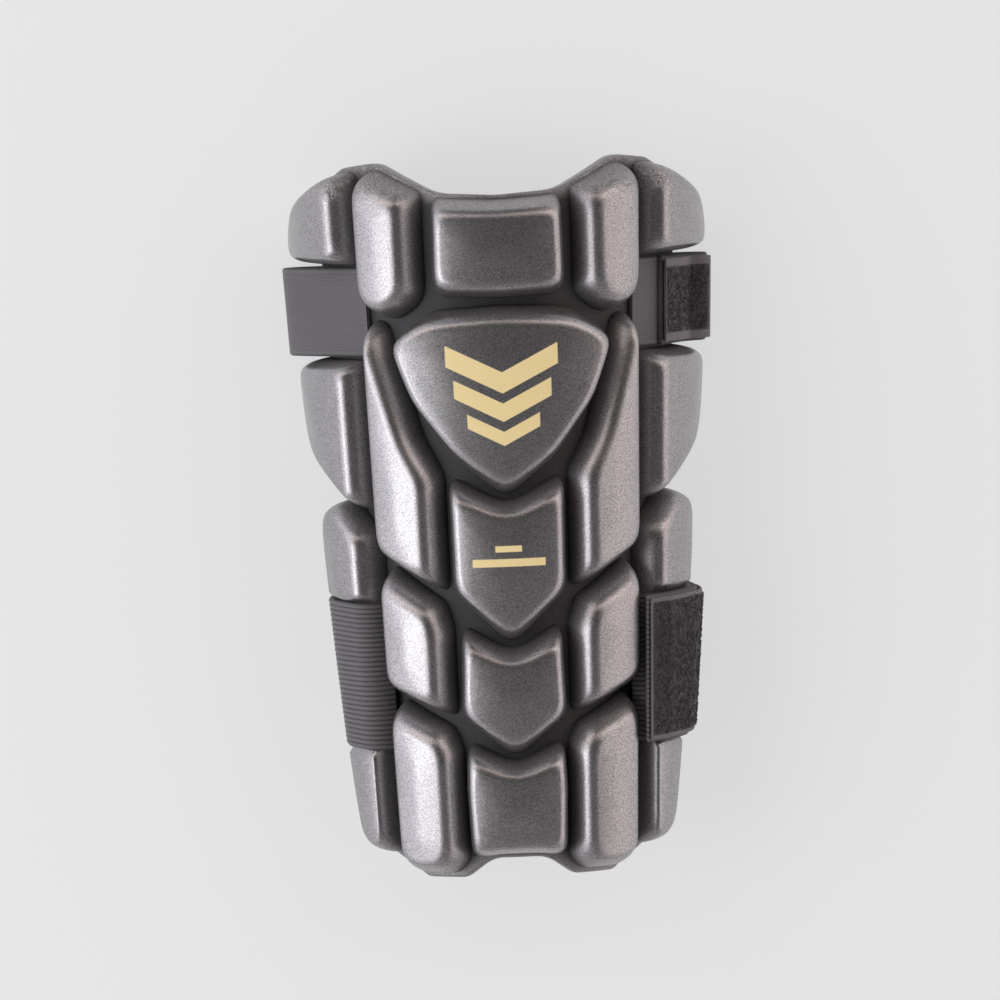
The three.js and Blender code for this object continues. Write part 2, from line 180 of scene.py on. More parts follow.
def whole(table):
    """A table of the right half with its mirror image, as one closed outline."""
    right = corners_of(table)
    left = [row for row in corners_of(table, -1) if row[0] < 0]
    return right + left[::-1]


def area_of(points):
    """The area inside a closed line, negative where the line runs clockwise."""
    x, y = np.asarray(points)[:, :2].T
    return 0.5 * float(np.sum(x * np.roll(y, -1) - np.roll(x, -1) * y))


def rounded(corners):
    """The outline with each corner as a short curve, counter-clockwise."""
    if area_of(corners) < 0:
        corners = corners[::-1]
    points = []
    for i, (x, y, round_) in enumerate(corners):
        here = np.array([x, y])
        back = np.array(corners[i - 1][:2]) - here
        ahead = np.array(corners[(i + 1) % len(corners)][:2]) - here
        cosine = back @ ahead / (np.linalg.norm(back) * np.linalg.norm(ahead))
        half = math.acos(max(-1, min(1, cosine))) / 2
        reach = min(round_ / math.tan(half), 0.46 * np.linalg.norm(back), 0.46 * np.linalg.norm(ahead))
        start = here + back / np.linalg.norm(back) * reach
        end = here + ahead / np.linalg.norm(ahead) * reach
        for t in np.linspace(0, 1, CORNER_POINTS):
            points.append((1 - t) ** 2 * start + 2 * t * (1 - t) * here + t * t * end)
    return np.array(points)


def evenly(points, count):
    """A closed line resampled to even spacing, from the same first point."""
    closed = np.vstack([points, points[:1]])
    travelled = np.concatenate([[0], np.cumsum(np.linalg.norm(np.diff(closed, axis=0), axis=1))])
    wanted = np.linspace(0, travelled[-1], count, endpoint=False)
    return np.stack([np.interp(wanted, travelled, closed[:, k]) for k in (0, 1)], axis=1)


def inward(points):
    """Unit normals of a counter-clockwise closed line that point to its inside."""
    along = np.roll(points, -1, axis=0) - np.roll(points, 1, axis=0)
    along /= np.linalg.norm(along, axis=1)[:, None]
    return np.stack([-along[:, 1], along[:, 0]], axis=1)


def crosses_itself(points):
    """Whether any two sides of a closed line cross."""
    a, b = points, np.roll(points, -1, axis=0)

    def turn_sign(p, q, r):
        ahead, aside = q - p, r - p
        return ahead[..., 0] * aside[..., 1] - ahead[..., 1] * aside[..., 0]

    first, second = a[:, None], b[:, None]
    third, fourth = a[None], b[None]
    apart = turn_sign(first, second, third) * turn_sign(first, second, fourth)
    across = turn_sign(third, fourth, first) * turn_sign(third, fourth, second)
    return bool(np.any((apart < 0) & (across < 0)))


def eased(points, share):
    """Each point moved towards the middle of its neighbours, and all spaced evenly again."""
    beside = np.roll(points, 1, axis=0) + np.roll(points, -1, axis=0)
    return evenly((1 - share) * points + 0.5 * share * beside, len(points))


def shrunk(points, share, slopes, side, tapered=False):
    """The line moved in by a share of the slopes' widths, in small steps, and eased so it never folds."""
    inner, outer, elbow, wrist = slopes
    count = max(1, math.ceil(share * max(slopes) / STEP_IN))
    for _ in range(count):
        normals = inward(points)
        towards_side = normals[:, 0] * side
        facing_middle = inner * (taper_at(points[:, 1]) if tapered else 1)
        width = np.where(towards_side > 0, facing_middle, outer) * normals[:, 0] ** 2
        width += np.where(normals[:, 1] < 0, elbow, wrist) * normals[:, 1] ** 2
        points = eased(points + normals * (share / count * width)[:, None], EASING)
        for _ in range(MOST_EASINGS):
            if not crosses_itself(points):
                break
            points = eased(points, 1)
    return points


def taper_at(along):
    """How wide the inner slope of the wrist's side pads is along the guard, as a share."""
    return 0.35 + 0.65 * np.clip((along / LENGTH - 0.17) / 0.25, 0, 1)


def inside(points, polygon):
    """Which points lie inside a closed polygon."""
    x, y = np.asarray(points).T
    result = np.zeros(len(x), bool)
    for (x0, y0), (x1, y1) in zip(polygon, np.roll(polygon, -1, axis=0)):
        crosses = (y0 > y) != (y1 > y)
        if crosses.any():
            edge_x = x0 + (y - y0) / (y1 - y0 + 1e-30) * (x1 - x0)
            result ^= crosses & (x < edge_x)
    return result


def between_loops(points, lines):
    """Which points lie inside the first line and outside of the others."""
    keep = inside(points, lines[0])
    for line in lines[1:]:
        keep &= ~inside(points, line)
    return keep


def even_points(lines, spacing):
    """Points in staggered rows between the lines, and how far each is from the nearest line."""
    low, high = lines[0].min(axis=0), lines[0].max(axis=0)
    row_step = spacing * ROW_SHARE
    rows = int((high[1] - low[1]) / row_step) + 1
    grid = np.array([
        (low[0] + (i + 0.5 * (j % 2)) * spacing, low[1] + j * row_step)
        for j in range(rows + 1)
        for i in range(int((high[0] - low[0]) / spacing) + 2)
    ])
    grid = grid[between_loops(grid, lines)]
    border = np.vstack(lines)
    near = np.array([np.min(np.linalg.norm(border - point, axis=1)) for point in grid])
    free = near > LEAST_GAP * spacing
    return grid[free], near[free]


class Skin:
    """The vertices and faces of the shell in the flat pattern."""

    def __init__(self):
        self.points = []
        self.faces = []

    def ring(self, outline, lift):
        """Vertices along an outline at one lift or one lift each; returns their numbers."""
        first = len(self.points)
        lifts = np.broadcast_to(lift, len(outline))
        self.points += [(x, y, z) for (x, y), z in zip(outline, lifts)]
        return list(range(first, first + len(outline)))

    def join(self, low, high, flip=False):
        """Quads between two rings of equal count."""
        for i, a in enumerate(low):
            b = low[(i + 1) % len(low)]
            c, d = high[(i + 1) % len(high)], high[i]
            self.faces.append((a, d, c, b) if flip else (a, b, c, d))

    def fill(self, outer, spacing, lift, holes=(), flip=False, dome=0.0):
        """Triangles inside of the outer loop and outside of the holes, through even points."""
        loops = [outer, *holes]
        lines = [np.array([self.points[i][:2] for i in loop]) for loop in loops]
        grid, near = even_points(lines, spacing)
        ids = [i for loop in loops for i in loop]
        edges = []
        start = 0
        for loop in loops:
            edges += [(start + i, start + (i + 1) % len(loop)) for i in range(len(loop))]
            start += len(loop)
        base = lift(grid) if callable(lift) else lift
        ids += self.ring(grid, base + dome * (1 - np.exp(-((near / DOME_REACH) ** 2))))
        flat = [Vector(self.points[i][:2]) for i in ids]
        _, _, faces, origins, _, _ = delaunay_2d_cdt(flat, edges, [], 0, 1e-6)
        triangles = np.array([[origins[v][0] for v in face] for face in faces])
        centres = np.array([(flat[a] + flat[b] + flat[c]) / 3 for a, b, c in triangles])
        for a, b, c in triangles[between_loops(centres, lines)]:
            face = (ids[a], ids[b], ids[c])
            self.faces.append(face[::-1] if flip else face)


def kept_within(line, rim):
    """A line whose points all stay a little inside the rim."""
    nearest = np.argmin(np.linalg.norm(line[:, None] - rim[None], axis=2), axis=1)
    normals = inward(rim)[nearest]
    depth = np.sum((line - rim[nearest]) * normals, axis=1)
    return line + normals * np.maximum(0, RIM_MARGIN - depth)[:, None]


def even_outline(corners):
    """The rounded outline of these corners with evenly spaced points."""
    line = rounded(corners)
    perimeter = np.sum(np.linalg.norm(line - np.roll(line, 1, axis=0), axis=1))
    return evenly(line, int(perimeter / RING_SPACING))


def under_strap(points):
    """1 where the lower strap presses on the foam, easing to 0 beside it."""
    beyond = np.abs(points[:, 1] - LOWER_CENTRE) - LOWER_WIDTH / 2
    share = np.clip(0.5 - (beyond - DENT_BEYOND) / DENT_EASE, 0, 1)
    return share**2 * (3 - 2 * share)


def add_pad(skin, corners, height, slopes, side, rim, swell=0, flat=0, dome=MIDDLE_DOME, tapered=False):
    """One raised pad on the skin; returns its foot so that the floor can leave it out."""
    line = eased(kept_within(even_outline(corners), rim), FIRST_EASING)
    foot = skin.ring(line, 0)
    below, done = foot, 0

    def crown(points):
        reach = radius_at(points[:, 1]) + height
        fall = reach * (1 / np.cos(points[:, 0] / FLAT_RADIUS) - 1)
        return height + swell * (1 - under_strap(points)) + flat * fall

    for share, rise in SECTION:
        line = shrunk(line, share - done, slopes, side, tapered)
        done = share
        above = skin.ring(line, rise * crown(line))
        skin.join(below, above)
        below = above
    skin.fill(below, CROWN_SPACING, crown, dome=dome)
    return foot


def moulded_shell():
    """The foam moulding as one closed skin."""
    skin = Skin()
    edge = even_outline(whole(EDGE))
    normals = inward(edge)
    face_edge = edge + normals * RIM_ROUND
    rim = []
    for step in range(RIM_STEPS + 1):
        angle = math.pi / 2 * step / RIM_STEPS
        inset = RIM_ROUND * (1 - math.sin(angle))
        rim.append((inset, -RIM_ROUND * (1 - math.cos(angle))))
    rim += [(inset, -WALL - lift) for inset, lift in rim[::-1]]
    rings = [skin.ring(edge + normals * inset, lift) for inset, lift in rim]
    for upper, lower in zip(rings, rings[1:]):
        skin.join(lower, upper)
    feet = []
    for name, table in FRONT_PADS.items():
        flat = FLATTENING.get(name, LEAST_FLATTENING)
        corners = whole(table)
        feet.append(add_pad(
            skin, corners, FRONT_HEIGHT, FRONT_SLOPES, 1, face_edge, flat=flat, dome=FRONT_DOME))
    for pads, slopes in ((MIDDLE_PADS, MIDDLE_SLOPES), (SIDE_PADS, SIDE_SLOPES)):
        for name, table in pads.items():
            height = HEIGHTS.get(name, MIDDLE_HEIGHT)
            at_wrist = name == "wrist_side"
            swell = WRIST_SIDE_SWELL if at_wrist else 0
            for side in (1, -1):
                corners = corners_of(table, side)
                feet.append(add_pad(
                    skin, corners, height, slopes, side, face_edge, swell, tapered=at_wrist))
    skin.fill(rings[0], FLOOR_SPACING, 0, feet)
    skin.fill(rings[-1], LINING_SPACING, -WALL, flip=True)
    flat = np.array(skin.points)
    mesh = bpy.data.meshes.new("moulded_shell_skin")
    mesh.from_pydata(on_shell(flat).tolist(), [], skin.faces)
    uv = mesh.uv_layers.new(name="pattern")
    corner_points = np.array([loop.vertex_index for loop in mesh.loops])
    uv.data.foreach_set("uv", (flat[corner_points, :2] * MM).ravel())
    from_edge = np.concatenate([
        np.min(np.linalg.norm(part[:, None] - edge[None], axis=2), axis=1)
        for part in np.array_split(flat[:, :2], EDGE_PARTS)
    ])
    for name, values in (("lift", flat[:, 2]), ("rim", np.clip(1 - from_edge / RIM_REACH, 0, 1))):
        mesh.attributes.new(name, "FLOAT", "POINT").data.foreach_set("value", values.astype(np.float32))
    shell = bpy.data.objects.new("foam_shell", mesh)
    bpy.context.scene.collection.objects.link(shell)
    return shell


# The outline ends a little past the nominal length at one end, so its place follows the frame
edge_along = rounded(whole(EDGE))[:, 1]
SHELL_Y = CENTRE_Y - ((edge_along.min() + edge_along.max()) / 2 - LENGTH / 2)
shell = moulded_shell()
bpy.context.view_layer.objects.active = shell
shell.select_set(True)
bpy.ops.object.shade_smooth_by_angle(angle=SMOOTH_BELOW)
bpy.ops.object.select_all(action="DESELECT")


# The straps and the stations of their routes in the section across the arm. A station is at a turn,
# or a turn counted from the edge of the side pads, with its lift off the shell, or it is past the
# widest point of the guard, up from the floor.
LAYER = STRAP_THICKNESS + CLEARANCE
ANCHOR_UP = STRAP_THICKNESS / 2 + LAYER
OVER_PAD = WRIST_SIDE_HEIGHT + STRAP_THICKNESS / 2
UPPER_LEFT = [
    ("turn", 46.3, 1.3), ("turn", 56, 1.7), ("turn", 65, 4.4), ("turn", 73, 8.4), ("past", 1.4, 12),
    ("past", 2, 7), ("past", -0.4, 2.4), ("past", -5.6, STRAP_THICKNESS / 2),
]
UPPER_RIGHT = [
    ("turn", 46.3, 1.3), ("turn", 58, 1.5), ("turn", 68, 2.4), ("turn", 77, 4.2), ("past", -2.2, 11.5),
    ("past", -2.4, 7.5), ("past", -5.5, ANCHOR_UP + 0.6), ("past", -11, ANCHOR_UP),
]
LOWER_TOP = [
    ("turn", 45.9, 3), ("turn", 46.9, 7.6), ("turn", 49.6, OVER_PAD + 0.7), ("turn", 54, OVER_PAD + 0.8),
    ("edge", -9, OVER_PAD + 0.8), ("edge", -3.6, OVER_PAD + 0.8), ("past", 1.7, 26), ("past", 0.2, 16),
]
LOWER_LEFT = LOWER_TOP + [("past", -4, 7), ("past", -11, 2.2), ("past", -20, STRAP_THICKNESS / 2)]
LOWER_RIGHT = LOWER_TOP + [
    ("past", -5, ANCHOR_UP + 5.5), ("past", -12, ANCHOR_UP + 1.1), ("past", -21, ANCHOR_UP),
]
STRAPS = {
    "upper": dict(
        left=UPPER_LEFT, right=UPPER_RIGHT, centre=UPPER_CENTRE, width=UPPER_WIDTH,
        lap_start=[], lap_from=15,
        anchor=47, patch=29, margin=1, border=2.8, ribs=40, rib_depth=0.13, selvedge=2.2,
    ),
    "lower": dict(
        left=LOWER_LEFT, right=LOWER_RIGHT, centre=LOWER_CENTRE, width=LOWER_WIDTH,
        lap_start=[("turn", 42.8, OVER_PAD + LAYER + 0.5)], lap_from=10.5,
        anchor=52, patch=52, margin=1.2, border=1.2, ribs=28, rib_depth=0.4, selvedge=1.6,
    ),
}
SPAN_STEPS = 14
ROW_SPACING = 1.7
FIRST_ROWS = 235
LEAST_STEP = 0.1
VALLEY = 0.25
SWAY_LENGTH = 17
SWAY_WIDTH = 9
PATCH_THICKNESS = 1.8
NAP_GRID = 0.5
NAP_SPACING = 0.85
NAP_YARN = 0.1
NAP_RISE = (0.05, 0.35)
NAP_REACH = (0.36, 0.62)
NAP_ANGLES = np.radians([-25, 25, 75, 125, 175, 215])
PATCH_HALF = 0.45


def side_at(along):
    """The turn of the side pads' outer edge at one place along the guard, and their height there."""
    wide, narrow = SIDE_PADS["wrist_side"][3], SIDE_PADS["wrist_side"][4]
    share = (along / LENGTH - narrow[1]) / (wide[1] - narrow[1])
    if share > 1:
        return SIDE_TURN, SIDE_HEIGHT
    return narrow[0] + (wide[0] - narrow[0]) * share, WRIST_SIDE_HEIGHT


def station_points(stations, along):
    """The stations of a route as points of the section across the arm, at one place along the guard."""
    radius = radius_at(along)
    edge_turn, pad_height = side_at(along)
    widest = (radius + pad_height) * math.sin(math.radians(edge_turn) - CROWN_INSET / FLAT_RADIUS)
    points = []
    for kind, first, second in stations:
        if kind == "past":
            points.append((widest + first, second))
            continue
        angle = math.radians(first if kind == "turn" else edge_turn + first)
        reach = radius + second
        points.append((reach * math.sin(angle), CREST - radius + reach * math.cos(angle)))
    return np.array(points).reshape(-1, 2)


def spline(points):
    """A smooth line through the stations."""
    padded_points = np.vstack([points[:1], points, points[-1:]])
    line = []
    for a, b, c, d in zip(padded_points, padded_points[1:], padded_points[2:], padded_points[3:]):
        into, out = (c - a) / 2, (d - b) / 2
        for t in np.arange(SPAN_STEPS) / SPAN_STEPS:
            line.append(
                (2 * t**3 - 3 * t**2 + 1) * b + (t**3 - 2 * t**2 + t) * into
                + (3 * t**2 - 2 * t**3) * c + (t**3 - t**2) * out
            )
    line.append(points[-1])
    return np.array(line)


def sideways(line):
    """Unit vectors to the left of a line's direction."""
    direction = np.gradient(line, axis=0)
    direction /= np.linalg.norm(direction, axis=1)[:, None]
    return np.stack([-direction[:, 1], direction[:, 0]], axis=1)


def travel(line):
    """The distance travelled along a line at each of its points."""
    return np.concatenate([[0], np.cumsum(np.linalg.norm(np.diff(line, axis=0), axis=1))])


def stretch(line, start, end, count):
    """Even points on a line between two distances along it."""
    gone = travel(line)
    wanted = np.linspace(start, min(end, gone[-1]), count)
    return np.stack([np.interp(wanted, gone, line[:, k]) for k in (0, 1)], axis=1)


def smoothed(line, rounds=3):
    """A line with its small kinks eased and its ends kept."""
    for _ in range(rounds):
        line[1:-1] = 0.5 * line[1:-1] + 0.25 * (line[:-2] + line[2:])
    return line


def lap_line(strap, along):
    """The outer layer on the right side, from the strap's free end to the floor."""
    right = spline(station_points(strap["right"], along))
    lap = right + sideways(right) * LAYER
    gone = travel(right)
    first = np.array([[np.interp(strap["lap_from"], gone, lap[:, k]) for k in (0, 1)]])
    rest = np.vstack([first, lap[gone > strap["lap_from"] + LEAST_STEP]])
    start = station_points(strap["lap_start"], along)
    if len(start):
        head = spline(np.vstack([start, first]))[:-1]
        return np.vstack([head, rest])
    return rest


def loop_line(strap, along, rows):
    """The whole loop: the lap, the stretch along the floor and up to the left groove."""
    left = spline(station_points(strap["left"], along)) * (-1, 1)
    line = np.vstack([lap_line(strap, along), left[::-1]])
    return smoothed(stretch(line, 0, travel(line)[-1], rows))


def anchor_line(strap, along):
    """The short band under the strap's end, from the right groove to the floor."""
    right = spline(station_points(strap["right"], along))
    return stretch(right, 0, strap["anchor"], int(strap["anchor"] / ROW_SPACING))


def patch_line(strap, along, offset, spacing):
    """The route of the fastening patch, lifted off the strap's end."""
    lap = lap_line(strap, along)
    line = stretch(lap, 0, strap["patch"], int(strap["patch"] / spacing))
    return line + sideways(line) * offset


def webbing_profile(width, ribs, depth, selvedge):
    """Half thickness of ribbed webbing over its width: a thick selvedge and ribs that run its length."""
    half = STRAP_THICKNESS / 2
    first_valley = selvedge + VALLEY
    edge = [(0, 0.0), (0.12, 0.3), (0.4, 0.52), (0.8, half - 0.06), (selvedge * 0.6, half),
            (selvedge, half - 0.1), (first_valley, half - depth)]
    inner = width - 2 * first_valley
    pitch = inner / ribs
    across = [(u - width / 2, h) for u, h in edge]
    for rib in range(ribs):
        start = -width / 2 + first_valley + rib * pitch
        across += [(start + 0.22 * pitch, half - 0.3 * depth), (start + 0.5 * pitch, half),
                   (start + 0.78 * pitch, half - 0.3 * depth)]
        if rib < ribs - 1:
            across.append((start + pitch, half - depth))
    across += [(width / 2 - u, h) for u, h in edge[::-1]]
    return across


def tube_faces(rows, columns):
    """Faces of a flattened tube: rings of two layers that share their outer columns, and its ends."""
    around = 2 * columns - 2
    faces = []
    for row in range(rows - 1):
        a = row * around
        for i in range(around):
            j = (i + 1) % around
            faces.append((a + i, a + j, a + around + j, a + around + i))
    last = (rows - 1) * around
    for i in range(columns - 1):
        end = tuple(dict.fromkeys([i, i + 1, around - i - 1, (around - i) % around]))
        faces.append(end[::-1])
        faces.append(tuple(last + k for k in end))
    return faces


def band(name, line_at, centre, profile, wander=0.0):
    """A closed band: a line in the section at each column of the profile across its width."""
    columns = [(u, h, line_at(centre + u)) for u, h in profile]
    rows = len(columns[0][2])
    flat, uvs = [], []
    seed = sum(map(ord, name))
    for side in (1, -1):
        picked = columns if side == 1 else columns[-2:0:-1]
        for u, half, line in picked:
            offset = sideways(line) * (side * half)
            gone = travel(line)
            sway = wander * np.sin(gone / SWAY_LENGTH + seed) * math.cos(u / SWAY_WIDTH)
            points = line + offset
            flat.append(np.stack([points[:, 0], np.full(rows, centre + u) + sway, points[:, 1]], axis=1))
            uvs.append(np.stack([gone, np.full(rows, u)], axis=1))
    uv_grid = np.stack(uvs, axis=1)
    x, y, z = np.stack(flat, axis=1).reshape(-1, 3).T
    metres = np.stack([x * MM + CENTRE_X, (y - LENGTH / 2 + SHELL_Y) * MM, z * MM], axis=1)
    mesh = bpy.data.meshes.new(name)
    mesh.from_pydata(metres.tolist(), [], tube_faces(rows, len(columns)))
    heights = [half / (STRAP_THICKNESS / 2) for _, half, _ in columns]
    ribs = np.tile(heights + heights[-2:0:-1], rows)
    mesh.attributes.new("rib", "FLOAT", "POINT").data.foreach_set("value", ribs)
    uv = mesh.uv_layers.new(name="weave")
    picks = np.array([loop.vertex_index for loop in mesh.loops])
    uv.data.foreach_set("uv", (uv_grid.reshape(-1, 2)[picks] * MM).ravel())
    piece = bpy.data.objects.new(name, mesh)
    bpy.context.scene.collection.objects.link(piece)
    recalculate(piece)
    return piece


def recalculate(piece):
    """Normals outward and smooth shading below a fixed angle."""
    bpy.ops.object.select_all(action="DESELECT")
    bpy.context.view_layer.objects.active = piece
    piece.select_set(True)
    bpy.ops.object.mode_set(mode="EDIT")
    bpy.ops.mesh.select_all(action="SELECT")
    bpy.ops.mesh.normals_make_consistent(inside=False)
    bpy.ops.object.mode_set(mode="OBJECT")
    bpy.ops.object.shade_smooth_by_angle(angle=SMOOTH_BELOW)
    bpy.ops.object.select_all(action="DESELECT")


def nap_patch(name, strap):
    """A fastening patch: a smooth border round a field of short curled nap."""
    width = strap["width"] - 2 * strap["margin"]
    offset = STRAP_THICKNESS / 2 + CLEARANCE + PATCH_THICKNESS / 2
    edge = [(-width / 2, 0), (-width / 2 + 0.15, 0.3), (-width / 2 + 0.5, 0.42)]
    middle = [(u, PATCH_HALF) for u in np.linspace(-width / 2 + 0.9, width / 2 - 0.9, int(width / NAP_GRID))]
    profile = edge + middle + [(-u, h) for u, h in edge[::-1]]
    piece = band(
        name, lambda along: patch_line(strap, along, offset, NAP_GRID), strap["centre"], profile)
    mesh = piece.data
    points = np.array([vertex.co for vertex in mesh.vertices])
    normals = np.array([vertex.normal for vertex in mesh.vertices])
    gone_across = np.zeros((len(points), 2))
    for loop, layer in zip(mesh.loops, mesh.uv_layers[0].data):
        gone_across[loop.vertex_index] = layer.uv
    gone, across = gone_across.T / MM
    out = np.stack([np.sign(points[:, 0] - CENTRE_X), np.zeros(len(points)), np.full(len(points), 0.6)], 1)
    field = np.clip((width / 2 - strap["border"] - np.abs(across)) / 0.6, 0, 1)
    field *= np.clip((gone - 0.2) / 0.4, 0, 1) * np.clip((strap["patch"] - 0.9 - gone) / 0.6, 0, 1)
    field *= np.sum(normals * out, axis=1) > 0.1
    rng = np.random.default_rng(len(name))
    rise = field * rng.uniform(*NAP_RISE, len(points))
    mesh.vertices.foreach_set("co", (points + normals * (rise * MM)[:, None]).ravel())
    mesh.attributes.new("field", "FLOAT", "POINT").data.foreach_set("value", field.astype(np.float32))
    seats = rng.permutation(np.where(field > 0.9)[0])
    count = int(len(seats) * NAP_GRID**2 / NAP_SPACING**2)
    loops = nap_loops(points[seats[:count]], normals[seats[:count]], rng)
    add_to(piece, loops)
    return piece


def nap_loops(seats, normals, rng):
    """Short arched loops of yarn standing on a surface, as vertices and faces."""
    vertices, faces = [], []
    for seat, normal in zip(seats, normals):
        spin, lean, reach = rng.uniform(0, 2 * math.pi), rng.uniform(-0.9, 0.9), rng.uniform(*NAP_REACH)
        level = np.cross(normal, (0, 1, 0))
        level /= np.linalg.norm(level)
        other = np.cross(normal, level)
        ahead = math.cos(spin) * level + math.sin(spin) * other
        beside = np.cross(normal, ahead)
        up = math.cos(lean) * normal + math.sin(lean) * beside
        side = np.cross(ahead, up)
        first = len(vertices)
        for angle in NAP_ANGLES:
            spoke = math.cos(angle) * ahead + math.sin(angle) * up
            centre = seat + (spoke * reach + up * 0.35 * reach) * MM
            for turn in (0, 2.1, 4.2):
                vertices.append(centre + (math.cos(turn) * spoke + math.sin(turn) * side) * NAP_YARN * MM)
        for ring in range(len(NAP_ANGLES) - 1):
            a = first + 3 * ring
            for i in range(3):
                j = (i + 1) % 3
                faces.append((a + i, a + j, a + 3 + j, a + 3 + i))
        last = first + 3 * (len(NAP_ANGLES) - 1)
        faces.append((first + 2, first + 1, first))
        faces.append((last, last + 1, last + 2))
    return vertices, faces


def add_to(piece, parts):
    """More vertices and faces joined into a piece, in the nap's field."""
    vertices, faces = parts
    mesh = bpy.data.meshes.new("nap_loops")
    mesh.from_pydata(np.array(vertices).tolist(), [], faces)
    mesh.attributes.new("field", "FLOAT", "POINT").data.foreach_set("value", np.ones(len(vertices)))
    mesh.uv_layers.new(name="weave")
    extra = bpy.data.objects.new("nap_loops", mesh)
    bpy.context.scene.collection.objects.link(extra)
    recalculate(extra)
    bpy.context.view_layer.objects.active = piece
    extra.select_set(True)
    piece.select_set(True)
    bpy.ops.object.join()
    bpy.ops.object.select_all(action="DESELECT")


loop_pieces = {}
for place, strap in STRAPS.items():
    loop_length = travel(loop_line(strap, strap["centre"], FIRST_ROWS))[-1]
    rows = int(loop_length / ROW_SPACING)
    profile = webbing_profile(strap["width"], strap["ribs"], strap["rib_depth"], strap["selvedge"])
    loop_pieces[place, "elastic_strap"] = band(
        f"{place}_webbing", lambda along: loop_line(strap, along, rows), strap["centre"], profile, 0.3)
    loop_pieces[place, "anchor_strap"] = band(
        f"{place}_anchor_webbing", lambda along: anchor_line(strap, along), strap["centre"], profile, 0.2)
    loop_pieces[place, "fastening_patch"] = nap_patch(f"{place}_nap_patch", strap)


# The marks on the front pads, in millimetres along the pattern: from, to, and how far to each side
CHEVRON_SLANT = 0.62
CHEVRONS = [(173, 180.5, 16), (163, 169.5, 14), (154.5, 159.5, 10.5)]
BARS = [(117, 119.2, 4), (111.8, 114.6, 11)]


class Wire:
    """A socket of a node tree that can be used in an expression on values."""

    def __init__(self, nodes, socket):
        self.nodes = nodes
        self.socket = socket

    def _math(self, operation, first, second):
        return self.nodes.node("ShaderNodeMath", {"operation": operation}, {0: first, 1: second})[0]

    def __add__(self, other):
        return self._math("ADD", self, other)

    def __sub__(self, other):
        return self._math("SUBTRACT", self, other)

    def __rsub__(self, other):
        return self._math("SUBTRACT", other, self)

    __radd__ = __add__

    def __mul__(self, other):
        return self._math("MULTIPLY", self, other)

    def __pow__(self, other):
        return self._math("POWER", self, other)

    __rmul__ = __mul__

    def clamped(self, low, high):
        """0 below the low value, 1 above the high value and even between them."""
        return self.nodes.node("ShaderNodeMapRange", {}, {0: self, 1: low, 2: high, 3: 0.0, 4: 1.0})[0]

    def size(self):
        return self.nodes.node("ShaderNodeMath", {"operation": "ABSOLUTE"}, {0: self})[0]


class Nodes:
    """The nodes of one tree, made from expressions."""

    def __init__(self, tree):
        self.tree = tree

    def node(self, kind, settings, inputs):
        made = self.tree.nodes.new(kind)
        for name, value in settings.items():
            setattr(made, name, value)
        for key, value in inputs.items():
            self.feed(made.inputs[key], value)
        return [Wire(self, socket) for socket in made.outputs]

    def feed(self, target, value):
        if isinstance(value, Wire):
            self.tree.links.new(value.socket, target)
        else:
            target.default_value = value

    def axes(self, vector):
        return self.node("ShaderNodeSeparateXYZ", {}, {0: vector})

    def blend(self, share, first, second):
        return self.node("ShaderNodeMix", {"data_type": "RGBA"}, {0: share, 6: first, 7: second})[2]


class Finish(Nodes):
    """One material with its principled shader and the nodes that feed it."""

    def __init__(self, name, **constants):
        self.material = bpy.data.materials.new(name)
        self.material.use_nodes = True
        super().__init__(self.material.node_tree)
        self.shader = self.tree.nodes["Principled BSDF"]
        for socket, value in constants.items():
            self.shader.inputs[socket.replace("_", " ")].default_value = value

    def out(self, socket, value):
        self.feed(self.shader.inputs[socket], value)

    def place(self):
        return self.node("ShaderNodeTexCoord", {}, {})[3]

    def pattern(self, name):
        return self.node("ShaderNodeUVMap", {"uv_map": name}, {})[0]

    def attribute(self, name):
        return self.node("ShaderNodeAttribute", {"attribute_name": name}, {})[2]

    def noise(self, vector, scale, detail=2.0, rough=0.5):
        return self.node("ShaderNodeTexNoise", {}, {
            "Vector": vector, "Scale": scale, "Detail": detail, "Roughness": rough})[0]

    def bump(self, height, distance):
        return self.node("ShaderNodeBump", {}, {"Distance": distance, "Height": height})[0]


